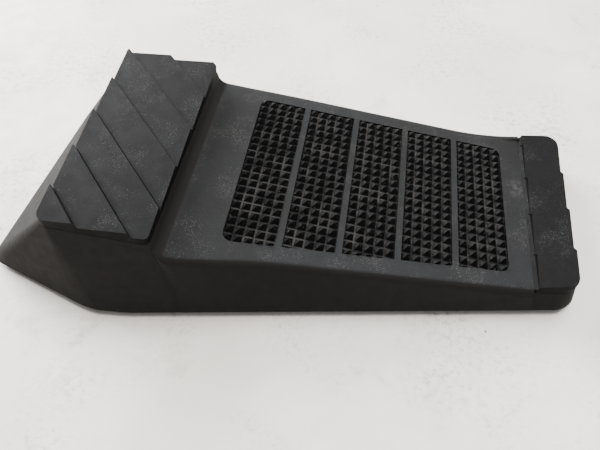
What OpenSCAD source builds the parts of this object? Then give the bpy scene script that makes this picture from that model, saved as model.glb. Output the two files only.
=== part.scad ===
// Low moulded wheel chock: a hollow ribbed shell with five studded grip strips,
// a stepped tread on the heel and another on the nose, and a screwed-on sole.
// X runs from the heel (-X) to the nose (+X), Z is up, millimetres.
// The origin is the middle of the bottom face of the bounding box.

/* [Body] */
// Length of the base, heel to nose
body_len = 268; // [240:1:300]
// Width of the base
body_wid = 130; // [120:1:150]
// Angle of the ramp above the base
slope_deg = 8; // [6:0.5:10]
// Height of the ramp's surface where the grip strips start
slope_z = 34.5; // [30:0.5:40]
// Height of the heel tread's low edges at its back
heel_z = 51.2; // [44:0.1:56]
// Forward tilt of the heel tread
heel_deg = 5; // [0:0.5:8]
// Height of the nose tread's low edges
nose_z = 17.4; // [15:0.2:20]
// Radius of the ramp's long edges
edge_r = 3.5; // [2:0.5:5]
// Thickness of the shell
wall_t = 3; // [2.5:0.5:4]
// Thickness of the ribs under the ramp
rib_t = 2.4; // [2:0.2:4]

/* [Grip strips] */
// Distance from stud to stud
stud_pitch = 4.5; // [4:0.1:5]
// Height of a stud
stud_h = 2.3; // [1.5:0.1:3]
// Depth of the pocket that a strip lies in
pocket_d = 1.6; // [1:0.1:2]
// Width of the bar between two strips
bar_w = 2.85; // [2:0.05:4]

/* [Treads] */
// Height of each step in a tread
step_h = 2.6; // [2:0.1:4]
// Distance between steps, measured across the chock
step_pitch = 23.2; // [20:0.1:26]
// Angle between a step and the chock's length
step_deg = 47; // [40:1:50]
// How far a step's drop leans, measured across the step
step_lean = 0.5; // [0.3:0.1:1.5]
// Thickness of a tread below its steps
tread_t = 3; // [2:0.5:4]

/* [Sole] */
// Thickness of the sole
sole_t = 3; // [2:0.5:4]
// How far the sole is set back from the rim
sole_inset = 2.5; // [2:0.5:4]
// Depth of the grooves in the sole
sole_groove_d = 1; // [0.5:0.1:1.5]
// Width of the grooves in the sole
sole_groove_w = 3; // [2:0.5:4]
// Distance from groove to groove
sole_groove_step = 22; // [16:1:30]

/* [Hidden] */
$fn = 48;

// Thickness of the flat ends that a hull joins, and the overlap where two forms meet
thin = 0.02;
join = 1;
// Clearance all round a strip in its pocket
fit = 0.15;
// Strips in the field, and columns of studs in a strip
strips = 5;
columns = 5;
// From the ramp's surface to the cavity
skin_t = pocket_d + 2.4;

// Ends and sides of the base
heel_end = -body_len / 2;
nose_end = body_len / 2;
far_y = body_wid / 2;
near_y = -body_wid / 2;

// Corners of the rim as [x, y, radius], going round from the far heel corner.
// The near side tapers towards the nose and the near heel corner is cut off.
heel_skew = 6.5;
rim_corners = [[heel_end + heel_skew, far_y, 8],
               [nose_end, far_y, 9],
               [nose_end, near_y + 34, 12],
               [heel_end + 60, near_y, 50],
               [heel_end, near_y + 20.5, 9]];
// The rounding moves the rim's extremes, so it is centred on the origin again
rim_line = outline(rim_corners);
rim_mid = [for (i = [0, 1]) (min([for (p = rim_line) p[i]]) + max([for (p = rim_line) p[i]])) / 2];
rim = [for (c = rim_corners) [c[0] - rim_mid[0], c[1] - rim_mid[1], c[2]]];

// The ramp: its start, its end and its two long edges
slope_x = heel_end + 112.75;
step_x = nose_end - 22.2;
slope_far = far_y - 6.3;
slope_near = near_y + 15;
taper = 0.119;
ramp_back = -36;
ramp_front = (step_x - slope_x) / cos(slope_deg);

// The heel's flat top
heel_x0 = heel_end + 44;
heel_x1 = heel_end + 89.3;
heel_y0 = near_y + 11;
heel_y1 = far_y - 9.4;
heel_r = 4.5;
heel_sharp_r = 2;
heel_top = [[heel_x0, heel_y1, heel_sharp_r], [heel_x1, heel_y1, heel_sharp_r],
            [heel_x1, heel_y0, heel_sharp_r], [heel_x0, heel_y0, heel_r]];
// Radius of the concave foot between the heel and the ramp, and how far it stays inside the ramp's edges
foot_r = 5.5;
foot_in = 5.5;
// Where a step of the heel tread meets its back edge
heel_step_y = heel_y0 + 17.7;

// The nose's flat top
nose_x1 = nose_end - 3.3;
nose_far = far_y - 3.3;
nose_near = near_y + 32.4;
nose_r = 7;
nose_sharp_r = 1;
nose_front_near = nose_near + (nose_x1 - step_x) * taper;
nose_top = [[step_x, nose_far, nose_sharp_r], [nose_x1, nose_far, nose_r],
            [nose_x1, nose_front_near, nose_r], [step_x, nose_near, nose_sharp_r]];
// How far the nose block reaches back under the ramp
nose_back = 12;
// Where a step of the nose tread meets its back edge, that edge's chamfer and the riser left above it
nose_step_y = 56.1;
nose_chamfer = 1.6;
nose_lip = 0.2;
// The low curb that joins the nose to the ramp's far edge
curb_len = 35;
curb_w = 1.2;
curb_d = 4;

// The field of grip strips, in the ramp's own plane
strip_w = columns * stud_pitch;
strip_step = strip_w + bar_w;
field_len = strips * strip_w + (strips - 1) * bar_w;
field_far = far_y - 15;
field_near = near_y + 24.7;
field_r = 4.5;
field = [[0, field_far, field_r], [field_len, field_far, field_r],
         [field_len, field_near + taper * field_len, field_r], [0, field_near, field_r]];
stud_gap = 0.6;
rows = ceil((field_far - field_near) / stud_pitch);
// Pegs under the strips and treads, all on lines that miss the ribs
peg_d = 5;
peg_y = [-12, 12, 36];
heel_peg_y = [-36, -12, 12, 36];
heel_pegs = [for (y = heel_peg_y) [(heel_x0 + heel_x1) / 2, y]];
nose_pegs = [for (y = peg_y) [(step_x + nose_x1) / 2 + 1, y]];

// Screws that hold the sole
screw_d = 3.5;
screw_len = 11;
screw_head_d = 7.6;
screw_head_h = 2;
screw_slot_w = 1;
screw_slot_len = 4;
screw_sunk = 0.3;
hole_clear = 0.4;
boss_d = 9;
// Ribs along and across, the cross ribs under the bars between the strips
rib_step = 24;
rib_y = [for (i = [-2 : 2]) rib_step * i];
rib_x = [for (i = [-4 : 5]) slope_x + strip_step * i - bar_w / 2];
screws = [for (i = [1, 5, 9], j = [1, 4]) [rib_x[i], rib_y[j]]];

// An outline with rounded corners, moved inwards by d
function unit(v) = v / norm(v);
function left_of(v) = [-v[1], v[0]];
function xy(p) = [p[0], p[1]];
function inset_corner(a, b, c, d) =
    let (u = unit(b - a), v = unit(c - b), n = -left_of(u), m = -left_of(v))
    b + (n + m) * d / (1 + n * m);
function arc_corner(a, b, c, r) =
    let (u = unit(a - b), v = unit(c - b), half = acos(u * v) / 2,
         mid = b + unit(u + v) * r / sin(half),
         s = b + u * r / tan(half) - mid, e = b + v * r / tan(half) - mid,
         sweep = 180 - 2 * half,
         n = max(2, ceil(sweep / 9)),
         turn = s[0] * e[1] - s[1] * e[0] > 0 ? 1 : -1)
    [for (i = [0 : n]) let (t = turn * sweep * i / n)
        mid + [s[0] * cos(t) - s[1] * sin(t), s[0] * sin(t) + s[1] * cos(t)]];
function outline(c, d = 0) =
    let (n = len(c),
         q = [for (i = [0 : n - 1]) inset_corner(xy(c[(i + n - 1) % n]), xy(c[i]), xy(c[(i + 1) % n]), d)])
    [for (i = [0 : n - 1]) each arc_corner(q[(i + n - 1) % n], q[i], q[(i + 1) % n], max(0.4, c[i][2] - d))];

module plate(c, d, z, h = thin) {
    translate([0, 0, z]) linear_extrude(h) polygon(outline(c, d));
}

module clip_x(x0, x1) {
    intersection() {
        children();
        translate([x0, -body_wid, -1]) cube([x1 - x0, 2 * body_wid, 4 * heel_z]);
    }
}

module on_ramp() {
    translate([slope_x, 0, slope_z]) rotate([0, slope_deg, 0]) children();
}

module on_heel() {
    translate([heel_x0, 0, heel_z]) rotate([0, heel_deg, 0]) translate([-heel_x0, 0, 0]) children();
}

// Ramp block; d shrinks the sides and top lowers the surface
module ramp_block(d, top, z0 = sole_t) {
    r = max(0.5, edge_r - d);
    hull() {
        plate(rim, d, z0);
        on_ramp() for (x = [ramp_back, ramp_front]) {
            translate([x, slope_near + taper * x + d + r, -top - r]) sphere(r = r, $fn = 32);
            translate([x, slope_far - d - r, -top - r]) sphere(r = r, $fn = 32);
        }
    }
}

module heel_block(d, top, z0 = sole_t) {
    hull() {
        clip_x(-body_len, heel_x1 - d) plate(rim, d, z0);
        on_heel() plate(heel_top, d, -top - thin);
    }
}

module nose_block(d, top, z0 = sole_t) {
    hull() {
        clip_x(step_x - nose_back, body_len) plate(rim, d, z0);
        plate(nose_top, d, top - thin);
    }
}

module curb() {
    start_x = step_x - curb_len;
    start_z = slope_z - (start_x - slope_x) * tan(slope_deg);
    foot_z = sole_t + wall_t;
    hull() {
        translate([start_x, slope_far - curb_w, start_z - curb_d]) cube([thin, curb_w, curb_d]);
        translate([step_x - join, slope_far, foot_z]) cube([join, nose_far - slope_far, nose_z - foot_z]);
    }
}

// Concave fillet where the ramp meets the heel
module heel_foot() {
    foot_z = slope_z - (heel_x1 - slope_x) * tan(slope_deg);
    fall = foot_r * tan(slope_deg);
    far = slope_far - foot_in / 4;
    translate([heel_x1 - join, far, foot_z]) rotate([90, 0, 0])
        linear_extrude(far - slope_near - foot_in * 3 / 4) difference() {
            translate([0, -edge_r]) square([foot_r + join, foot_r + edge_r]);
            translate([foot_r + join, foot_r - fall]) circle(r = foot_r);
        }
}

module sides() {
    clip_x(-body_len, step_x) ramp_block(0, 0);
    heel_block(0, tread_t);
    nose_block(0, nose_z - tread_t);
    curb();
    heel_foot();
}

// Hollow underside, divided into cells by the ribs and the screw bosses
module cells() {
    below = sole_t - join;
    difference() {
        union() {
            clip_x(-body_len, step_x - wall_t) ramp_block(wall_t, skin_t, below);
            heel_block(wall_t, tread_t + wall_t, below);
            nose_block(wall_t, nose_z - tread_t - wall_t, below);
        }
        for (x = rib_x) translate([x - rib_t / 2, -body_wid, 0]) cube([rib_t, 2 * body_wid, 2 * heel_z]);
        for (y = rib_y) translate([-body_len, y - rib_t / 2, 0]) cube([2 * body_len, rib_t, 2 * heel_z]);
        for (s = screws) translate([s[0], s[1], 0]) cylinder(d = boss_d, h = 2 * heel_z);
    }
}

// Outline of one strip's pocket, k = 0 nearest the heel
module strip_area(k, gap, z0, z1) {
    translate([0, 0, z0]) linear_extrude(z1 - z0) intersection() {
        polygon(outline(field, gap));
        translate([k * strip_step + gap, -body_wid]) square([strip_w - 2 * gap, 2 * body_wid]);
    }
}

module strip_pegs(k, d, h) {
    for (y = peg_y) translate([k * strip_step + strip_w / 2, y, -pocket_d - h]) cylinder(d = d, h = h + 0.1);
}

module tread_pegs(points, z, d, h) {
    for (p = points) translate([p[0], p[1], z - h]) cylinder(d = d, h = h + 0.1);
}

module body_shell() color([0.10, 0.10, 0.11]) {
    difference() {
        sides();
        cells();
        on_ramp() for (k = [0 : strips - 1]) {
            strip_area(k, 0, -pocket_d, 2 * stud_h);
            strip_pegs(k, peg_d, skin_t);
        }
        on_heel() tread_pegs(heel_pegs, -tread_t, peg_d, wall_t + join);
        tread_pegs(nose_pegs, nose_z - tread_t, peg_d, wall_t + join);
        for (s = screws) translate([s[0], s[1], sole_t - join]) cylinder(d = screw_d, h = screw_len);
    }
}

// Ridges side by side: extruded one way for columns and the other way for rows
module ridges(n, length) {
    foot = stud_pitch - stud_gap;
    rotate([90, 0, 0]) linear_extrude(length) polygon([
        [0, -pocket_d],
        each [for (i = [0 : n - 1], p = [0, 1, 2])
            [i * stud_pitch + stud_gap / 2 + p * foot / 2, p == 1 ? stud_h - pocket_d / 2 : -pocket_d / 2]],
        [n * stud_pitch, -pocket_d / 2],
        [n * stud_pitch, -pocket_d],
    ]);
}

module stud_strip(k) color([0.05, 0.05, 0.055]) on_ramp() {
    intersection() {
        strip_area(k, fit, -pocket_d, 2 * stud_h);
        translate([k * strip_step, field_far, 0]) ridges(columns, 2 * body_wid);
        translate([(k + 2) * strip_step, field_far, 0]) rotate([0, 0, -90]) translate([0, strip_w, 0])
            ridges(rows, 4 * strip_w);
    }
    strip_pegs(k, peg_d, skin_t - pocket_d);
}

module stud_strip_1() stud_strip(0);
module stud_strip_2() stud_strip(1);
module stud_strip_3() stud_strip(2);
module stud_strip_4() stud_strip(3);
module stud_strip_5() stud_strip(4);

// Slab whose top rises in slanting steps; one step's foot passes through [x, y]
module stepped_slab(x, y, z) {
    across = step_pitch * cos(step_deg);
    most = ceil(body_len / 2 / across);
    translate([x, y, z]) rotate([0, 0, -step_deg]) rotate([0, -90, 0]) translate([0, 0, -body_len])
        linear_extrude(2 * body_len) polygon([
            [-tread_t, -most * across],
            each [for (i = [-most : most - 1])
                each [[0, i * across], [step_h, (i + 1) * across - step_lean]]],
            [0, most * across],
            [-tread_t, most * across],
        ]);
}

module heel_tread() color([0.13, 0.13, 0.14]) on_heel() {
    intersection() {
        plate(heel_top, 0, -tread_t, tread_t + step_h);
        stepped_slab(heel_x0, heel_step_y, 0);
    }
    tread_pegs(heel_pegs, -tread_t, peg_d, wall_t);
}

module nose_tread() color([0.13, 0.13, 0.14]) {
    difference() {
        intersection() {
            plate(nose_top, 0, nose_z - tread_t, tread_t + step_h);
            stepped_slab(step_x, nose_step_y, nose_z);
        }
        translate([step_x, body_wid, nose_z]) rotate([90, 0, 0]) linear_extrude(2 * body_wid) polygon([
            [-join, -nose_chamfer],
            [0, -nose_chamfer],
            [nose_chamfer - nose_lip, -nose_lip],
            [nose_chamfer - nose_lip, 2 * step_h],
            [-join, 2 * step_h]]);
    }
    tread_pegs(nose_pegs, nose_z - tread_t, peg_d, wall_t);
}

module screw_holes() {
    for (s = screws) translate([s[0], s[1], -join]) {
        cylinder(d = screw_d + hole_clear, h = sole_t + 2 * join);
        cylinder(d = screw_head_d + hole_clear, h = join + screw_head_h);
    }
}

module base_sole() color([0.06, 0.06, 0.065]) {
    most = ceil(body_len / 2 / sole_groove_step);
    difference() {
        plate(rim, sole_inset, 0, sole_t);
        screw_holes();
        for (i = [-most : most]) rotate([0, 0, 45])
            translate([i * sole_groove_step - sole_groove_w / 2, -body_len, -join])
                cube([sole_groove_w, 2 * body_len, join + sole_groove_d]);
    }
}

module sole_screws() color([0.55, 0.55, 0.56]) {
    for (s = screws) translate([s[0], s[1], screw_sunk]) difference() {
        union() {
            cylinder(d = screw_head_d, h = screw_head_h - screw_sunk);
            cylinder(d = screw_d, h = screw_len);
        }
        for (a = [0, 90]) rotate([0, 0, a]) translate([-screw_slot_len / 2, -screw_slot_w / 2, -join])
            cube([screw_slot_len, screw_slot_w, 2 * join]);
    }
}

body_shell();
stud_strip_1();
stud_strip_2();
stud_strip_3();
stud_strip_4();
stud_strip_5();
heel_tread();
nose_tread();
base_sole();
sole_screws();
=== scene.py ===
"""Looks of the wheel chock: a finer moulded shell, softened pieces, materials, floor, light and camera.

Lengths are in millimetres in the CAD frame until a mesh is made, where MM turns them into metres.
"""

import math

import bmesh
import bpy
from mathutils import Matrix, Vector


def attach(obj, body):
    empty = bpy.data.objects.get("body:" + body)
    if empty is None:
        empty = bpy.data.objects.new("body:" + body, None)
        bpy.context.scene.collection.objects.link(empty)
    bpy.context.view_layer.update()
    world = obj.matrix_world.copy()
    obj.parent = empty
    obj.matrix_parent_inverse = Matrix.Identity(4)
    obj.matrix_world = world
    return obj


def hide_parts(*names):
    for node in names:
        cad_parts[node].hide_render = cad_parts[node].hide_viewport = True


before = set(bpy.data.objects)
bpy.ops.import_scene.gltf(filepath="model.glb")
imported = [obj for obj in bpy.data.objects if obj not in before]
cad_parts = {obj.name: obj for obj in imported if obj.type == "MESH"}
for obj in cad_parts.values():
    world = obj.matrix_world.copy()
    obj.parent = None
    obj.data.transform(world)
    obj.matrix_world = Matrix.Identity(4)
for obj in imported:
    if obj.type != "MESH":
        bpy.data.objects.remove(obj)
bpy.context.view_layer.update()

MM = 0.001

# ---------------------------------------------------------------- sizes, as the CAD part has them

HALF_LEN = 134.0
HALF_WID = 65.0
SOLE_T = 3.0
WALL_T = 3.0
RIB_T = 2.4
TREAD_T = 3.0
POCKET_D = 1.6
SKIN_T = 4.0

SLOPE = math.radians(8)
SLOPE_X = -HALF_LEN + 112.75
SLOPE_Z = 34.5
SLOPE_NEAR = -HALF_WID + 15
SLOPE_FAR = HALF_WID - 6.3
TAPER = 0.119
EDGE_R = 3.5
FOOT_R = 5.5

HEEL_TILT = math.radians(5)
HEEL_X0 = -HALF_LEN + 44
HEEL_X1 = -HALF_LEN + 89.3
HEEL_Y0 = -HALF_WID + 11
HEEL_Y1 = HALF_WID - 9.4
HEEL_Z = 51.2
HEEL_NEAR_R = 4.5
HEEL_FAR_R = 2.0
HEEL_STEP_Y = HEEL_Y0 + 17.7

STEP_X = HALF_LEN - 22.2
NOSE_X1 = HALF_LEN - 3.3
NOSE_Y0 = -HALF_WID + 32.4
NOSE_Y1 = HALF_WID - 3.3
NOSE_Z = 17.4
NOSE_R = 7.0
NOSE_STEP_Y = 56.1
CURB_LEN = 35.0

STEP_PITCH = 23.2
STEP_SLANT = math.radians(47)

PITCH = 4.5
BAR_W = 2.85
STRIPS = 5
STRIP_W = 5 * PITCH
STRIP_STEP = STRIP_W + BAR_W
FIELD_LEN = STRIPS * STRIP_W + (STRIPS - 1) * BAR_W
FIELD_FAR = HALF_WID - 15
FIELD_NEAR = -HALF_WID + 24.7
FIELD_R = 4.5
PEG_D = 5.0
PEG_Y = (-12, 12, 36)

RIB_X = [SLOPE_X + STRIP_STEP * i - BAR_W / 2 for i in range(-4, 6)]
RIB_Y = [24 * i for i in range(-2, 3)]
SCREWS = [(RIB_X[i], RIB_Y[j]) for i in (1, 5, 9) for j in (1, 4)]
BOSS_D = 9.0
SCREW_D = 3.5
SCREW_LEN = 11.0

# Corners of the rim as (x, y, radius), counter-clockwise from the far heel corner
RIM_CORNERS = [
    (-HALF_LEN + 6.5, HALF_WID, 8),
    (-HALF_LEN, -HALF_WID + 20.5, 9),
    (-HALF_LEN + 60, -HALF_WID, 50),
    (HALF_LEN, -HALF_WID + 34, 12),
    (HALF_LEN, HALF_WID, 9),
]

# ---------------------------------------------------------------- sizes that only this finer model has

# The roundings along the decks, the curb and the rim's foot, and the grooves in the treads
DECK_EDGE_R = 0.6
CURB_EDGE_R = 0.8
RIM_FOOT_R = 0.7
GROOVE_W = 0.5
GROOVE_D = 0.8

# Close to the heel the ramp's near edge swings out and its far edge in: from where down the slope, over
# what length, and how far
SWING_FROM = -21
SWING_LEN = 48
SWING_OUT = 3.4
SWING_IN = 0.8

# Shares of the heel's near corner arc that end over the rim's tip and over its slant, and the share of
# the rim's knee that lies under the rest of the arc
TIP_SHARE = 0.55
SLANT_SHARE = 0.72
KNEE_SHARE = 0.5

# The floor lies this much lower, because the sole's underside is at zero as well
FLOOR_DROP = 0.02


# ---------------------------------------------------------------- outlines

def mix(a, b, t):
    """The point or number that is the share t of the way from a to b."""
    return a + (b - a) * t


def clamp(t):
    return min(1.0, max(0.0, t))


def ease(t):
    """0 below 0, 1 above 1, and a smooth rise between."""
    t = clamp(t)
    return t * t * (3 - 2 * t)


def circle(x, y, diameter, sides=24):
    """Points round a circle, as (x, y)."""
    turns = [math.tau * i / sides for i in range(sides)]
    return [(x + diameter / 2 * math.cos(a), y + diameter / 2 * math.sin(a)) for a in turns]


def steps(n):
    """n shares from 0 up to, but not including, 1."""
    return [i / n for i in range(n)]


class Corner:
    """A rounded corner of an outline: at(0) is where its arc starts and at(1) where it ends."""

    def __init__(self, before, here, after, radius):
        u = (before - here).normalized()
        v = (after - here).normalized()
        half = u.angle(v) / 2
        self.middle = here + (u + v).normalized() * radius / math.sin(half)
        self.first = here + u * radius / math.tan(half) - self.middle
        last = here + v * radius / math.tan(half) - self.middle
        self.sweep = math.atan2(self.first.cross(last), self.first.dot(last))

    def at(self, t):
        return self.middle + Matrix.Rotation(self.sweep * t, 2) @ self.first


def inset_line(points, inset):
    """The corners of a counter-clockwise outline, with every side moved inwards."""
    moved = []
    for i, here in enumerate(points):
        u = (here - points[i - 1]).normalized()
        v = (points[(i + 1) % len(points)] - here).normalized()
        n = Vector((-u.y, u.x))
        m = Vector((-v.y, v.x))
        moved.append(here + (n + m) * inset / (1 + n.dot(m)))
    return moved


def rounded(corners, inset=0.0):
    """The Corners of a counter-clockwise outline given as (x, y, radius)."""
    points = inset_line([Vector(c[:2]) for c in corners], inset)
    made = []
    for i, here in enumerate(points):
        after = points[(i + 1) % len(points)]
        made.append(Corner(points[i - 1], here, after, max(0.5, corners[i][2] - inset)))
    return made


def outline_points(corners, per_arc=8):
    """A list of points round the outline that the Corners make."""
    return [c.at(i / per_arc) for c in corners for i in range(per_arc + 1)]


def centred_rim():
    """RIM_CORNERS moved so that the rounded rim is centred on the origin, as the CAD rim is."""
    points = outline_points(rounded(RIM_CORNERS), 24)
    mid = [(min(p[k] for p in points) + max(p[k] for p in points)) / 2 for k in (0, 1)]
    return [(x - mid[0], y - mid[1], r) for x, y, r in RIM_CORNERS]


# ---------------------------------------------------------------- the places of the top faces

def on_ramp(u, y, w=0.0):
    """A point in the ramp's plane: u down the slope, w above it."""
    x = SLOPE_X + u * math.cos(SLOPE) + w * math.sin(SLOPE)
    return Vector((x, y, SLOPE_Z - u * math.sin(SLOPE) + w * math.cos(SLOPE)))


def ramp_z(x):
    """Height of the ramp's plane at x."""
    return SLOPE_Z - (x - SLOPE_X) * math.tan(SLOPE)


def on_heel(u, y, w=0.0):
    """A point in the plane of the heel tread's low edges: u forward, w above it."""
    x = HEEL_X0 + u * math.cos(HEEL_TILT) + w * math.sin(HEEL_TILT)
    return Vector((x, y, HEEL_Z - u * math.sin(HEEL_TILT) + w * math.cos(HEEL_TILT)))


# ---------------------------------------------------------------- meshes

def new_object(name, mesh):
    piece = bpy.data.objects.new(name, mesh)
    bpy.context.scene.collection.objects.link(piece)
    return piece


def to_object(name, bm):
    """Turns a bmesh in millimetres into an object in metres."""
    bmesh.ops.recalc_face_normals(bm, faces=bm.faces)
    bmesh.ops.scale(bm, vec=(MM, MM, MM), verts=bm.verts)
    mesh = bpy.data.meshes.new(name)
    bm.to_mesh(mesh)
    bm.free()
    return new_object(name, mesh)


def add_prism(bm, ring_a, ring_b):
    """Adds a closed prism between two rings of the same number of points."""
    low = [bm.verts.new(p) for p in ring_a]
    top = [bm.verts.new(p) for p in ring_b]
    bm.faces.new(low)
    bm.faces.new(top)
    for i in range(len(low)):
        j = (i + 1) % len(low)
        bm.faces.new((low[i], low[j], top[j], top[i]))


def add_box(bm, low, high):
    ring = [(low[0], low[1]), (high[0], low[1]), (high[0], high[1]), (low[0], high[1])]
    add_prism(bm, [(x, y, low[2]) for x, y in ring], [(x, y, high[2]) for x, y in ring])


def add_rod(bm, x, y, low, high, diameter):
    ring = circle(x, y, diameter)
    add_prism(bm, [(px, py, low) for px, py in ring], [(px, py, high) for px, py in ring])


def cut(piece, tool):
    """Cuts the tool out of the piece and deletes the tool."""
    boolean = piece.modifiers.new("cut", "BOOLEAN")
    boolean.object = tool
    boolean.operation = "DIFFERENCE"
    boolean.solver = "EXACT"
    apply_modifiers(piece)
    bpy.data.objects.remove(tool)


def apply_modifiers(piece):
    bpy.context.view_layer.update()
    seen = piece.evaluated_get(bpy.context.evaluated_depsgraph_get())
    made = bpy.data.meshes.new_from_object(seen)
    piece.modifiers.clear()
    old = piece.data
    piece.data = made
    made.name = piece.name
    bpy.data.meshes.remove(old)


def smooth_by_angle(piece, degrees):
    """Smooth shading with sharp edges where two faces meet at more than the given angle."""
    bm = bmesh.new()
    bm.from_mesh(piece.data)
    for face in bm.faces:
        face.smooth = True
    for edge in bm.edges:
        edge.smooth = len(edge.link_faces) == 2 and edge.calc_face_angle(math.pi) < math.radians(degrees)
    bm.to_mesh(piece.data)
    bm.free()
    weighted = piece.modifiers.new("flat faces stay flat", "WEIGHTED_NORMAL")
    weighted.keep_sharp = True
    weighted.weight = 80


# ---------------------------------------------------------------- the moulded shell

def column(top, rim, inward, radius):
    """One line down the shell's side: over the rounded top edge, down the wall, round the rim's foot."""
    down = (rim - top).normalized()
    half = inward.angle(down) / 2
    reach = radius / math.tan(half)
    middle = top + (inward + down).normalized() * radius / math.sin(half)
    start = top + inward * reach - middle
    end = top + down * reach - middle
    turn = start.angle(end)
    axis = start.cross(end)
    points = [middle + Matrix.Rotation(turn * i / 6, 3, axis) @ start for i in range(7)]
    foot = rim - down * RIM_FOOT_R
    points += [mix(points[-1], foot, i / 8) for i in range(1, 9)]
    points.append(rim + (inward - down) * RIM_FOOT_R * 0.3)
    points.append(rim + inward * RIM_FOOT_R)
    return points


def flat_part(v):
    """The level direction of a vector."""
    return Vector((v.x, v.y, 0)).normalized()


def flat_corner(before, here, after, radius):
    return Corner(Vector(before), Vector(here), Vector(after), radius)


def line(a, b):
    """The straight line from a to b, as a function of the share along it."""
    return lambda t: mix(a, b, t)


def part_of(corner, first, last):
    """The part of a corner's arc between two shares of it, as a function of the share along that part."""
    return lambda t: corner.at(mix(first, last, t))


def heel_deck(inset, lower):
    """Height of the heel's deck over the low edges of its tread; a cavity's deck lies lower."""
    return -TREAD_T - (lower - inset if lower else 0)


def side_line(far, inset, lower):
    """Stations along one long side from heel to nose, as (top corner, edge radius)."""
    sign = 1 if far else -1
    heel_y = (HEEL_Y1 if far else HEEL_Y0) - sign * inset
    corner_r = max(0.5, (HEEL_FAR_R if far else HEEL_NEAR_R) - inset)
    heel_len = HEEL_X1 - HEEL_X0 - inset
    deck = heel_deck(inset, lower)
    stations = []
    # The heel's deck, under its tread
    for t in steps(10):
        stations.append((on_heel(mix(corner_r + inset, heel_len, t), heel_y, deck), DECK_EDGE_R))
    deck_end = on_heel(heel_len, heel_y, deck)
    stations.append((deck_end, DECK_EDGE_R))
    # The riser and the concave foot where it meets the ramp
    foot_x = deck_end.x + 0.4 + FOOT_R
    foot_z = ramp_z(foot_x) + FOOT_R / math.cos(SLOPE) - lower
    u0 = (foot_x - SLOPE_X) / math.cos(SLOPE)
    foot_y = ramp_side(u0, far, inset)
    for i in range(11):
        a = math.pi + (math.pi / 2 - SLOPE) * i / 10
        x = foot_x + FOOT_R * math.cos(a)
        y = mix(heel_y, foot_y, ease((i + 1) / 11))
        z = foot_z + FOOT_R * math.sin(a)
        stations.append((Vector((x, y, z)), mix(DECK_EDGE_R, EDGE_R, ease(i / 10))))
    # The ramp
    u1 = (STEP_X - SLOPE_X) / math.cos(SLOPE)
    first = (stations[-1][0].x - SLOPE_X) / math.cos(SLOPE)
    for i in range(1, 41):
        u = mix(first, u1 - inset, i / 40)
        p = on_ramp(u, ramp_side(u, far, inset), -lower)
        if far and not inset:
            rise = clamp((p.x - STEP_X + CURB_LEN) / CURB_LEN)
            p.z = mix(p.z, NOSE_Z, rise)
            p.y = mix(p.y, NOSE_Y1, rise)
            stations.append((p, mix(EDGE_R, CURB_EDGE_R, rise)))
        else:
            stations.append((p, EDGE_R))
    # The nose's deck, under its tread
    nose_z = NOSE_Z - TREAD_T - (lower - 1 if lower else 0)
    nose_end = NOSE_X1 - NOSE_R
    for i in range(5):
        x = mix(STEP_X - inset + 0.05, nose_end, i / 4)
        y = (NOSE_Y1 if far else NOSE_Y0 + (x - STEP_X) * TAPER) - sign * inset
        stations.append((Vector((x, y, nose_z)), DECK_EDGE_R))
    return stations


def ramp_side(u, far, inset):
    """Where the ramp's edge lies in y; close to the heel the near edge swings out and the far edge in."""
    near_heel = 1 - ease((u - SWING_FROM) / SWING_LEN)
    if far:
        return SLOPE_FAR - inset - SWING_IN * near_heel
    return SLOPE_NEAR + TAPER * u + inset - SWING_OUT * near_heel


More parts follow.
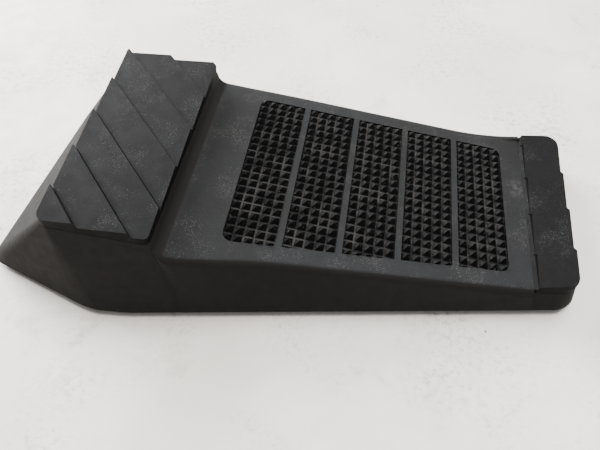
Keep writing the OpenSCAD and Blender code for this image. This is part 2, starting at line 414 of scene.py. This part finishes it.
def add_block(bm, inset=0.0, lower=0.0, base=SOLE_T):
    """Adds the chock's closed outer form, or with an inset and lowered top the form of its cavity."""
    tip, knee, nose_near, nose_far, heel_far = rounded_rim(inset)
    near = side_line(False, inset, lower)
    far = side_line(True, inset, lower)
    deck = heel_deck(inset, lower)
    nose_z = near[-1][0].z
    near_r = max(0.5, HEEL_NEAR_R - inset)
    far_r = max(0.5, HEEL_FAR_R - inset)
    heel_y0 = HEEL_Y0 + inset
    heel_y1 = HEEL_Y1 - inset
    heel_near = flat_corner((inset, 0), (inset, heel_y0), (50, heel_y0), near_r)
    heel_away = flat_corner((50, heel_y1), (inset, heel_y1), (inset, 0), far_r)
    x1 = NOSE_X1 - inset
    y0 = NOSE_Y0 + (NOSE_X1 - STEP_X) * TAPER + inset
    y1 = NOSE_Y1 - inset
    front_near = flat_corner((STEP_X, y0 - TAPER * 19), (x1, y0), (x1, 30), NOSE_R)
    front_far = flat_corner((x1, 30), (x1, y1), (STEP_X, y1), NOSE_R)

    def on_deck(p):
        return on_heel(p.x, p.y, deck)

    def on_nose_deck(p):
        return Vector((p.x, p.y, nose_z))

    def on_rim(p):
        return Vector((p.x, p.y, base))

    # The loop of columns round the chock: top corner, rim point, edge radius
    loop = []

    def add_end(shares, place, top_line, rim_line):
        for t in shares:
            loop.append((place(top_line(t)), on_rim(rim_line(t)), DECK_EDGE_R))

    # Heel's end wall, far to near, then the slanted near corner: its tip, its flat and its knee
    add_end(steps(20), on_deck, line(heel_away.at(1), heel_near.at(0)), line(heel_far.at(1), tip.at(0)))
    add_end(steps(10), on_deck, part_of(heel_near, 0, TIP_SHARE), tip.at)
    add_end(steps(14), on_deck, part_of(heel_near, TIP_SHARE, SLANT_SHARE), line(tip.at(1), knee.at(0)))
    add_end(steps(12), on_deck, part_of(heel_near, SLANT_SHARE, 1), part_of(knee, 0, KNEE_SHARE))
    near_start = len(loop)
    loop += side_columns(near, knee.at(KNEE_SHARE), knee.at(1), nose_near.at(0), on_rim)
    # Round the nose
    add_end(steps(10), on_nose_deck, front_near.at, nose_near.at)
    front_line = line(front_near.at(1), front_far.at(0))
    add_end(steps(20), on_nose_deck, front_line, line(nose_near.at(1), nose_far.at(0)))
    add_end(steps(10), on_nose_deck, front_far.at, nose_far.at)
    far_start = len(loop)
    loop += side_columns(far, heel_far.at(0), None, nose_far.at(1), on_rim)[::-1]
    add_end(steps(6)[1:], on_deck, heel_away.at, heel_far.at)

    columns = []
    count = len(loop)
    for i, (top, rim, radius) in enumerate(loop):
        inward = flat_part(top - rim)
        if near_start <= i < near_start + len(near):
            inward = Vector((0, 1, 0))
        elif far_start <= i < far_start + len(far):
            inward = Vector((0, -1, 0))
        columns.append(column(top, rim, inward, radius))
    rings = [[bm.verts.new(p) for p in points] for points in columns]
    for i in range(count):
        a = rings[i]
        b = rings[(i + 1) % count]
        for k in range(len(a) - 1):
            bm.faces.new((a[k], a[k + 1], b[k + 1], b[k]))
    bm.faces.new([ring[-1] for ring in rings])

    # Top faces, row by row from heel to nose
    rows = []
    for i in range(len(near)):
        start = rings[near_start + i][0]
        end = rings[far_start + len(far) - 1 - i][0]
        rows.append([start] + row_between(bm, start.co, end.co) + [end])
    for a, b in zip(rows, rows[1:]):
        for j in range(len(a) - 1):
            bm.faces.new((a[j], a[j + 1], b[j + 1], b[j]))
    heel_cap = [rings[i][0] for i in range(near_start)] + rows[0][:-1]
    heel_cap += [rings[i][0] for i in range(far_start + len(far) - 1, count)]
    bm.faces.new(heel_cap)
    nose_cap = [rings[i][0] for i in range(near_start + len(near), far_start)] + rows[-1][::-1]
    bm.faces.new(nose_cap)


def rounded_rim(inset):
    """The rim's corners in the order that add_block walks: tip, knee, nose near, nose far, heel far."""
    heel_far, tip, knee, nose_near, nose_far = rounded(centred_rim(), inset)
    return tip, knee, nose_near, nose_far, heel_far


def side_columns(stations, rim_first, rim_bend, rim_last, on_rim):
    """Pairs each station of a long side with a rim point that moves along with it."""
    walked = [0.0]
    for (a, _), (b, _) in zip(stations, stations[1:]):
        walked.append(walked[-1] + abs(b.x - a.x) + 1.6 * abs(b.z - a.z))
    made = []
    for (top, radius), length in zip(stations, walked):
        t = length / walked[-1]
        x = mix(rim_first.x, rim_last.x, t)
        if rim_bend is not None and x < rim_bend.x:
            share = (x - rim_first.x) / (rim_bend.x - rim_first.x)
            y = mix(rim_first.y, rim_bend.y, share)
        elif rim_bend is not None:
            share = (x - rim_bend.x) / (rim_last.x - rim_bend.x)
            y = mix(rim_bend.y, rim_last.y, share)
        else:
            y = mix(rim_first.y, rim_last.y, t)
        made.append((top, on_rim(Vector((x, y))), radius))
    return made


def row_between(bm, start, end):
    """The inner points of a row across the top. Where the far end is higher, only the last bit rises."""
    points = []
    edge = 3.0
    cells = 22
    shares = [mix(0, 1 - edge / (end.y - start.y), i / cells) for i in range(1, cells + 1)]
    for t in shares:
        points.append((mix(start.x, end.x, t), mix(start.y, end.y, t), start.z))
    for back, share in ((2.0, 0.25), (1.4, 0.8), (0.7, 1.0)):
        points.append((end.x, end.y - back, mix(start.z, end.z, share)))
    return [bm.verts.new(p) for p in points]


def add_pockets(bm):
    """The pockets of the grip strips."""
    field = [
        (0, FIELD_NEAR, FIELD_R),
        (FIELD_LEN, FIELD_NEAR + TAPER * FIELD_LEN, FIELD_R),
        (FIELD_LEN, FIELD_FAR, FIELD_R),
        (0, FIELD_FAR, FIELD_R),
    ]
    round_field = outline_points(rounded(field))
    for k in range(STRIPS):
        ring = clipped(round_field, k * STRIP_STEP, k * STRIP_STEP + STRIP_W)
        add_prism(bm, [on_ramp(p.x, p.y, -POCKET_D) for p in ring], [on_ramp(p.x, p.y, 6) for p in ring])


def add_peg_holes(bm):
    """The holes for the pegs of the grip strips."""
    for k in range(STRIPS):
        for y in PEG_Y:
            ring = circle(k * STRIP_STEP + STRIP_W / 2, y, PEG_D)
            low = [on_ramp(px, py, -SKIN_T - 1.5) for px, py in ring]
            top = [on_ramp(px, py, -POCKET_D + 1) for px, py in ring]
            add_prism(bm, low, top)


def clipped(points, x0, x1):
    """The part of a convex outline between x0 and x1."""
    for limit, side in ((x0, 1), (x1, -1)):
        kept = []
        for i, here in enumerate(points):
            before = points[i - 1]
            inside = (here.x - limit) * side >= -1e-9
            was = (before.x - limit) * side >= -1e-9
            if inside != was:
                kept.append(mix(before, here, (limit - before.x) / (here.x - before.x)))
            if inside:
                kept.append(here)
        points = [p for i, p in enumerate(kept) if (p - kept[i - 1]).length > 1e-4]
    return points


def make_shell():
    """The moulded shell: rounded outside, ribbed inside, with pockets, peg holes and screw holes."""
    bm = bmesh.new()
    add_block(bm)
    shell = to_object("moulded_shell", bm)

    bm = bmesh.new()
    add_block(bm, inset=WALL_T, lower=SKIN_T, base=SOLE_T - 1)
    cavity = to_object("cavity", bm)
    bm = bmesh.new()
    for x in RIB_X:
        add_box(bm, (x - RIB_T / 2, -80, -1), (x + RIB_T / 2, 80, 70))
    cut(cavity, to_object("cross_ribs", bm))
    bm = bmesh.new()
    for y in RIB_Y:
        add_box(bm, (-150, y - RIB_T / 2, -1), (150, y + RIB_T / 2, 70))
    cut(cavity, to_object("long_ribs", bm))
    bm = bmesh.new()
    for x, y in SCREWS:
        add_rod(bm, x, y, -1, 70, BOSS_D)
    cut(cavity, to_object("bosses", bm))
    cut(shell, cavity)

    bm = bmesh.new()
    add_pockets(bm)
    cut(shell, to_object("pockets", bm))
    bm = bmesh.new()
    add_peg_holes(bm)
    for x, y in SCREWS:
        add_rod(bm, x, y, SOLE_T - 2, SOLE_T + SCREW_LEN - 1, SCREW_D)
    cut(shell, to_object("holes", bm))
    smooth_by_angle(shell, 28)
    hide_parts("body_shell")
    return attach(shell, "root")


# ---------------------------------------------------------------- rubber pieces and screws

def softened(node, name, width):
    """A copy of a CAD node with its corners rounded over by width, in millimetres."""
    piece = new_object(name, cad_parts[node].data.copy())
    bm = bmesh.new()
    bm.from_mesh(piece.data)
    bmesh.ops.remove_doubles(bm, verts=bm.verts, dist=0.002 * MM)
    bmesh.ops.dissolve_limit(bm, angle_limit=math.radians(1), verts=bm.verts, edges=bm.edges)
    bm.to_mesh(piece.data)
    bm.free()
    bevel = piece.modifiers.new("soft corners", "BEVEL")
    bevel.width = width * MM
    bevel.segments = 2
    bevel.limit_method = "ANGLE"
    bevel.angle_limit = math.radians(25)
    bevel.use_clamp_overlap = True
    apply_modifiers(piece)
    smooth_by_angle(piece, 40)
    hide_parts(node)
    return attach(piece, "root")


def on_nose(u, y, w=0.0):
    """A point in the level plane of the nose tread's low edges: u towards the front, w above it."""
    return Vector((STEP_X + u, y, NOSE_Z + w))


def score_steps(piece, place, step_y):
    """Cuts a thin groove into a tread along the foot of every step."""
    reach = 120
    across = STEP_PITCH * math.cos(STEP_SLANT)
    along = Vector((math.cos(STEP_SLANT), -math.sin(STEP_SLANT)))
    side = Vector((math.sin(STEP_SLANT), math.cos(STEP_SLANT)))
    bm = bmesh.new()
    for i in range(-8, 9):
        first = Vector((0, step_y)) + side * (i * across - 0.06) - along * reach
        last = first + along * 2 * reach
        ring = [first, last, last + side * GROOVE_W, first + side * GROOVE_W]
        add_prism(bm, [place(p.x, p.y, -GROOVE_D) for p in ring], [place(p.x, p.y, 0.4) for p in ring])
    cut(piece, to_object("grooves", bm))
    smooth_by_angle(piece, 40)


# ---------------------------------------------------------------- materials

class Nodes:
    """Short ways to build one material's node tree."""

    def __init__(self, name):
        self.material = bpy.data.materials.new(name)
        self.material.use_nodes = True
        self.tree = self.material.node_tree
        self.shader = self.tree.nodes["Principled BSDF"]
        self.place = self.add("ShaderNodeTexCoord").outputs["Object"]

    def add(self, kind, **values):
        node = self.tree.nodes.new(kind)
        for key, value in values.items():
            setattr(node, key, value)
        return node

    def link(self, source, target):
        self.tree.links.new(source, target)

    def put(self, value, socket):
        if isinstance(value, bpy.types.NodeSocket):
            self.link(value, socket)
        else:
            socket.default_value = value

    def noise(self, size_mm, detail=4.0, rough=0.55, stretch=(1, 1, 1), turn=(0, 0, 0), distort=0.0):
        """Noise whose features are about size_mm across."""
        mapping = self.add("ShaderNodeMapping")
        mapping.inputs["Rotation"].default_value = turn
        mapping.inputs["Scale"].default_value = [1 / (size_mm * MM * s) for s in stretch]
        self.link(self.place, mapping.inputs["Vector"])
        texture = self.add("ShaderNodeTexNoise")
        texture.inputs["Scale"].default_value = 1.0
        texture.inputs["Detail"].default_value = detail
        texture.inputs["Roughness"].default_value = rough
        texture.inputs["Distortion"].default_value = distort
        self.link(mapping.outputs["Vector"], texture.inputs["Vector"])
        return texture.outputs["Fac"]

    def cells(self, size_mm):
        """Distance to the nearest of points about size_mm apart."""
        mapping = self.add("ShaderNodeMapping")
        mapping.inputs["Scale"].default_value = [1 / (size_mm * MM)] * 3
        self.link(self.place, mapping.inputs["Vector"])
        texture = self.add("ShaderNodeTexVoronoi")
        texture.inputs["Scale"].default_value = 1.0
        self.link(mapping.outputs["Vector"], texture.inputs["Vector"])
        return texture.outputs["Distance"]

    def ramp(self, value, low, high, out_low=0.0, out_high=1.0):
        """Maps value from low..high to out_low..out_high, smoothly and clamped."""
        node = self.add("ShaderNodeMapRange", interpolation_type="SMOOTHSTEP")
        self.link(value, node.inputs["Value"])
        node.inputs["From Min"].default_value = low
        node.inputs["From Max"].default_value = high
        node.inputs["To Min"].default_value = out_low
        node.inputs["To Max"].default_value = out_high
        return node.outputs["Result"]

    def math(self, operation, a, b):
        node = self.add("ShaderNodeMath", operation=operation)
        self.put(a, node.inputs[0])
        self.put(b, node.inputs[1])
        return node.outputs[0]

    def times(self, a, b):
        return self.math("MULTIPLY", a, b)

    def plus(self, a, b):
        return self.math("ADD", a, b)

    def colour(self, share, a, b):
        node = self.add("ShaderNodeMix", data_type="RGBA")
        self.put(share, node.inputs["Factor"])
        self.put(a, node.inputs["A"])
        self.put(b, node.inputs["B"])
        return node.outputs["Result"]

    def facing_up(self, low, high):
        """0 on faces whose normal rises less than low, and 1 above high."""
        geometry = self.add("ShaderNodeNewGeometry")
        parts = self.add("ShaderNodeSeparateXYZ")
        self.link(geometry.outputs["Normal"], parts.inputs["Vector"])
        return self.ramp(parts.outputs["Z"], low, high)

    def spot(self, centre, radius_mm):
        """1 at centre, given in millimetres, falling to 0 at that radius."""
        away = self.add("ShaderNodeVectorMath", operation="DISTANCE")
        self.link(self.place, away.inputs[0])
        away.inputs[1].default_value = Vector(centre) * MM
        return self.ramp(away.outputs["Value"], 0.0, radius_mm * MM, 1.0, 0.0)

    def bump(self, height, depth_mm, strength=1.0, before=None):
        node = self.add("ShaderNodeBump")
        node.inputs["Strength"].default_value = strength
        node.inputs["Distance"].default_value = depth_mm * MM
        self.link(height, node.inputs["Height"])
        if before is not None:
            self.link(before, node.inputs["Normal"])
        return node.outputs["Normal"]

    def specks(self, size_mm, apart_mm, share):
        """Small round specks on about that share of the points."""
        dots = self.ramp(self.cells(apart_mm), size_mm / apart_mm * 0.5, size_mm / apart_mm, 1.0, 0.0)
        some = self.ramp(self.noise(apart_mm * 1.7, 1.0), 0.68 - share * 0.3, 0.72 - share * 0.3)
        return self.times(dots, some)

    def fine_dust(self, size_mm, patch_mm):
        """Very small specks, thicker in some patches than in others."""
        grains = self.noise(size_mm * 1.6, 2.0, 0.7)
        patches = self.ramp(self.noise(patch_mm, 5.0, 0.6), 0.42, 0.64, -0.03, 0.09)
        level = self.plus(grains, patches)
        fine = self.ramp(level, 0.60, 0.74, 0.0, 0.55)
        near = self.times(self.specks(size_mm, 1.5, 0.9), self.ramp(patches, -0.03, 0.09, 0.15, 0.8))
        far = self.times(self.specks(size_mm * 1.3, 3.6, 0.6), 0.55)
        return self.math("MAXIMUM", fine, self.math("MAXIMUM", near, far))

    def scratches(self, apart_mm, length, turn, seed_turn):
        """Thin lines in one direction, broken up by noise."""
        lines = self.noise(apart_mm, 1.0, 0.4, stretch=(length, 1, 1), turn=(0, 0, turn), distort=0.15)
        thin = self.times(self.ramp(lines, 0.612, 0.625), self.ramp(lines, 0.638, 0.651, 1.0, 0.0))
        broken = self.ramp(self.noise(apart_mm * 7, 3.0, 0.7, turn=(0, 0, seed_turn)), 0.60, 0.70)
        return self.times(thin, broken)

    def finish(self, colour, roughness, normal, specular=0.5):
        self.put(colour, self.shader.inputs["Base Color"])
        self.put(roughness, self.shader.inputs["Roughness"])
        self.put(normal, self.shader.inputs["Normal"])
        self.put(specular, self.shader.inputs["Specular IOR Level"])
        return self.material


def grey(value, warmth=0.0):
    """A near-neutral colour: warmth above 0 is browner and below 0 bluer."""
    return (value * (1 + warmth), value, value * (1 - warmth), 1.0)


def shell_plastic():
    """Black moulded plastic: fine grain, painted sheen (a paler, bluer tone) and dust specks on what
    faces up, light scuffs.
    """
    n = Nodes("shell_plastic")
    up = n.facing_up(0.88, 0.988)
    # Painted sheen: faces that face up get a paler, bluer tone for the cool light from above, patchy with
    # noise.
    painted_top_light = n.times(up, n.ramp(n.noise(38, 5), 0.34, 0.68, 0.5, 1.0))
    colour = n.colour(n.noise(11, 4), grey(0.0092, 0.04), grey(0.0106, 0.05))
    colour = n.colour(painted_top_light, colour, grey(0.0165, -0.05))
    dust = n.times(n.fine_dust(0.30, 13), n.ramp(up, 0.0, 1.0, 0.05, 1.0))
    colour = n.colour(dust, colour, grey(0.075, 0.02))
    scuff = n.plus(n.scratches(1.5, 14, 0.5, 0.2), n.scratches(1.2, 10, -0.9, 1.3))
    colour = n.colour(n.times(scuff, n.ramp(up, 0.0, 1.0, 0.05, 0.13)), colour, grey(0.05))
    rub = n.times(n.spot((STEP_X - 3, 25, 16), 9), n.ramp(n.noise(2.2, 4), 0.38, 0.60))
    colour = n.colour(n.times(rub, 0.55), colour, grey(0.055, 0.02))
    wall = n.ramp(up, 0.0, 0.6, 0.10, 0.0)
    rough = n.plus(n.plus(n.ramp(n.noise(5.0, 4), 0.3, 0.7, 0.60, 0.68), wall), n.times(dust, 0.3))
    grain = n.bump(n.noise(0.45, 2.0, 0.6), 0.08, 0.7)
    waves = n.bump(n.noise(24, 1.0), 0.3, 0.2, before=grain)
    return n.finish(colour, rough, waves, 0.09)


def tread_rubber():
    """Dark grey rubber, painted bluer on what faces up as painted cool top light: fine grain, faint
    clouds, nicks, scuffs and dust.
    """
    n = Nodes("tread_rubber")
    up = n.facing_up(0.35, 0.72)
    colour = n.colour(n.ramp(n.noise(13, 5), 0.3, 0.7), grey(0.0050, 0.03), grey(0.0060, 0.03))
    # Painted light: faces that face up get a bluer, slightly darker tone for the cool light from above.
    painted_top_light = n.times(up, n.ramp(n.noise(30, 5), 0.35, 0.66, 0.45, 1.0))
    colour = n.colour(painted_top_light, colour, grey(0.0048, -0.05))
    dust = n.times(n.fine_dust(0.30, 15), n.ramp(up, 0.0, 1.0, 0.03, 0.6))
    colour = n.colour(dust, colour, grey(0.085, 0.0))
    nick_shape = n.noise(2.6, 4.0, 0.6, stretch=(1, 3.5, 1), turn=(0, 0, 0.7), distort=1.2)
    nicks = n.times(n.ramp(nick_shape, 0.665, 0.71), n.ramp(n.noise(21, 1.0), 0.52, 0.62))
    colour = n.colour(n.times(nicks, 0.8), colour, grey(0.003))
    scuff = n.plus(n.scratches(1.3, 16, 0.8, 0.6), n.scratches(1.6, 12, 2.0, 1.9))
    colour = n.colour(n.times(scuff, 0.14), colour, grey(0.06))
    rough = n.plus(n.ramp(n.noise(6, 4), 0.3, 0.7, 0.60, 0.68), n.times(dust, 0.25))
    grain = n.bump(n.noise(0.40, 2.5, 0.65), 0.06, 0.65)
    dents = n.bump(nicks, -0.25, 0.8, before=grain)
    return n.finish(colour, rough, dents, n.ramp(up, 0.0, 1.0, 0.04, 0.07))


def stud_rubber():
    """Black rubber studs: sheen on the facets, grey dust low down between them."""
    n = Nodes("stud_rubber")
    upright = Vector((math.sin(SLOPE), 0, math.cos(SLOPE)))
    height = n.add("ShaderNodeVectorMath", operation="DOT_PRODUCT")
    n.link(n.place, height.inputs[0])
    height.inputs[1].default_value = upright
    level = n.math("SUBTRACT", height.outputs["Value"], on_ramp(0, 0).dot(upright) * MM)
    low = n.ramp(level, -0.78 * MM, -0.45 * MM, 1.0, 0.0)
    tip = n.ramp(level, 0.8 * MM, 1.5 * MM)
    colour = n.colour(n.noise(5, 4), grey(0.0012), grey(0.0020))
    valley = n.times(low, n.ramp(n.noise(9, 6, 0.75), 0.42, 0.64, 0.05, 1.0))
    colour = n.colour(n.times(valley, 0.9), colour, grey(0.038, 0.03))
    lint = n.times(n.math("MAXIMUM", n.specks(0.35, 2.1, 0.8), n.specks(0.5, 3.3, 0.5)), 0.55)
    colour = n.colour(lint, colour, grey(0.07, 0.12))
    colour = n.colour(n.times(tip, n.ramp(n.noise(3, 3), 0.35, 0.6, 0.2, 0.8)), colour, grey(0.012))
    rough = n.ramp(n.noise(1.1, 4), 0.3, 0.7, 0.50, 0.66)
    grain = n.bump(n.noise(0.4, 2.0, 0.6), 0.04, 0.5)
    return n.finish(colour, rough, grain, 0.08)


def sole_rubber():
    """Matt black sole rubber, scuffed and a little brown with dirt."""
    n = Nodes("sole_rubber")
    colour = n.colour(n.ramp(n.noise(12, 6), 0.35, 0.68), grey(0.010, 0.12), grey(0.020, 0.16))
    worn = n.scratches(1.8, 12, 0.3, 0.9)
    colour = n.colour(n.times(worn, 0.5), colour, grey(0.07, 0.08))
    dust = n.specks(0.5, 2.6, 0.6)
    colour = n.colour(n.times(dust, 0.5), colour, grey(0.12, 0.12))
    rough = n.ramp(n.noise(2.5, 5), 0.3, 0.7, 0.62, 0.85)
    grain = n.bump(n.noise(0.5, 3.0, 0.7), 0.09, 0.7)
    return n.finish(colour, rough, grain, 0.35)


def screw_steel():
    """Dull zinc-plated steel with turning marks and dark spots."""
    n = Nodes("screw_steel")
    colour = n.colour(n.ramp(n.noise(1.6, 5), 0.35, 0.7), grey(0.42, 0.02), grey(0.55, 0.01))
    spots = n.specks(0.35, 1.5, 0.5)
    colour = n.colour(n.times(spots, 0.7), colour, grey(0.09, 0.25))
    rough = n.ramp(n.noise(0.7, 5, stretch=(4, 1, 1)), 0.3, 0.7, 0.28, 0.5)
    grain = n.bump(n.noise(0.2, 3.0, 0.6, stretch=(5, 1, 1)), 0.02, 0.6)
    n.shader.inputs["Metallic"].default_value = 1.0
    return n.finish(colour, rough, grain)


def table_paint():
    """Off-white painted table top with faint smudges, fine dirt and a few specks."""
    n = Nodes("table_paint")
    colour = n.colour(n.ramp(n.noise(90, 6), 0.35, 0.65), grey(0.74, 0.085), grey(0.87, 0.070))
    smudge = n.ramp(n.noise(30, 6, 0.62, distort=0.6), 0.58, 0.74)
    colour = n.colour(n.times(smudge, 0.5), colour, grey(0.42, 0.12))
    dirt = n.times(n.ramp(n.noise(3.1, 7, 0.8), 0.47, 0.66), n.ramp(n.noise(60, 4), 0.42, 0.66))
    colour = n.colour(n.times(dirt, 0.7), colour, grey(0.24, 0.12))
    colour = n.colour(n.times(n.specks(0.8, 22, 0.6), 0.8), colour, grey(0.12, 0.15))
    rough = n.ramp(n.noise(12, 5), 0.3, 0.7, 0.42, 0.62)
    grain = n.bump(n.noise(2.2, 4.0), 0.05, 0.4)
    return n.finish(colour, rough, grain, 0.4)


def dress(piece, material):
    piece.data.materials.clear()
    piece.data.materials.append(material)


# ---------------------------------------------------------------- floor, light and camera

def make_floor(material):
    """A wide level floor whose far part curves up out of sight."""
    bm = bmesh.new()
    rows = []
    for i in range(41):
        y = mix(-900, 1500, i / 40)
        lift = 600 * ease((y - 700) / 800) - FLOOR_DROP
        rows.append([bm.verts.new((mix(-1500, 1500, j / 40), y, lift)) for j in range(41)])
    for a, b in zip(rows, rows[1:]):
        for j in range(40):
            bm.faces.new((a[j], a[j + 1], b[j + 1], b[j]))
    floor = to_object("floor", bm)
    for face in floor.data.polygons:
        face.use_smooth = True
    if floor.data.polygons[0].normal.z < 0:
        floor.data.flip_normals()
    dress(floor, material)


def aim(thing, place, target):
    thing.location = place
    thing.rotation_euler = (Vector(target) - Vector(place)).to_track_quat("-Z", "Y").to_euler()


def area_light(name, place, target, width, height, power, colour=(1, 1, 1)):
    data = bpy.data.lights.new(name, "AREA")
    data.shape = "RECTANGLE"
    data.size = width
    data.size_y = height
    data.energy = power
    data.color = colour
    light = bpy.data.objects.new(name, data)
    bpy.context.scene.collection.objects.link(light)
    aim(light, place, target)


def make_lights():
    """Soft daylight from behind and from the heel's side, in a dim pale room."""
    world = bpy.data.worlds.new("room")
    world.use_nodes = True
    background = world.node_tree.nodes["Background"]
    background.inputs["Color"].default_value = (0.95, 0.97, 1.0, 1)
    background.inputs["Strength"].default_value = 0.45
    bpy.context.scene.world = world
    area_light("window", (-1.05, 0.75, 0.72), (0, 0, 0.02), 1.0, 0.8, 74, (0.98, 0.985, 1.0))
    area_light("ceiling", (0.30, 0.30, 1.5), (0, 0, 0), 1.0, 1.0, 48, (1.0, 0.985, 0.965))


def make_camera():
    """The reference view: from the near side, a little towards the nose, looking down on the ramp."""
    azimuth = math.radians(8.9)
    elevation = math.radians(52.15)
    target = Vector((6.0, -0.9, 0)) * MM
    level = math.cos(elevation)
    away = Vector((math.sin(azimuth) * level, -math.cos(azimuth) * level, math.sin(elevation)))
    data = bpy.data.cameras.new("camera")
    data.lens = 33.6
    data.sensor_width = 36
    data.clip_start = 0.01
    camera = bpy.data.objects.new("camera", data)
    bpy.context.scene.collection.objects.link(camera)
    aim(camera, target + away * 279.5 * MM, target)
    bpy.context.scene.camera = camera


# ---------------------------------------------------------------- the scene

make_camera()
make_lights()
make_floor(table_paint())

dress(make_shell(), shell_plastic())

stud_look = stud_rubber()
for k in range(1, STRIPS + 1):
    dress(softened(f"stud_strip_{k}", f"grip_strip_{k}", 0.12), stud_look)

tread_look = tread_rubber()
heel_pad = softened("heel_tread", "heel_pad", 0.35)
score_steps(heel_pad, on_heel, HEEL_STEP_Y)
dress(heel_pad, tread_look)
nose_pad = softened("nose_tread", "nose_pad", 0.35)
score_steps(nose_pad, on_nose, NOSE_STEP_Y)
dress(nose_pad, tread_look)
dress(softened("base_sole", "rubber_sole", 0.3), sole_rubber())
dress(softened("sole_screws", "countersunk_screws", 0.12), screw_steel())
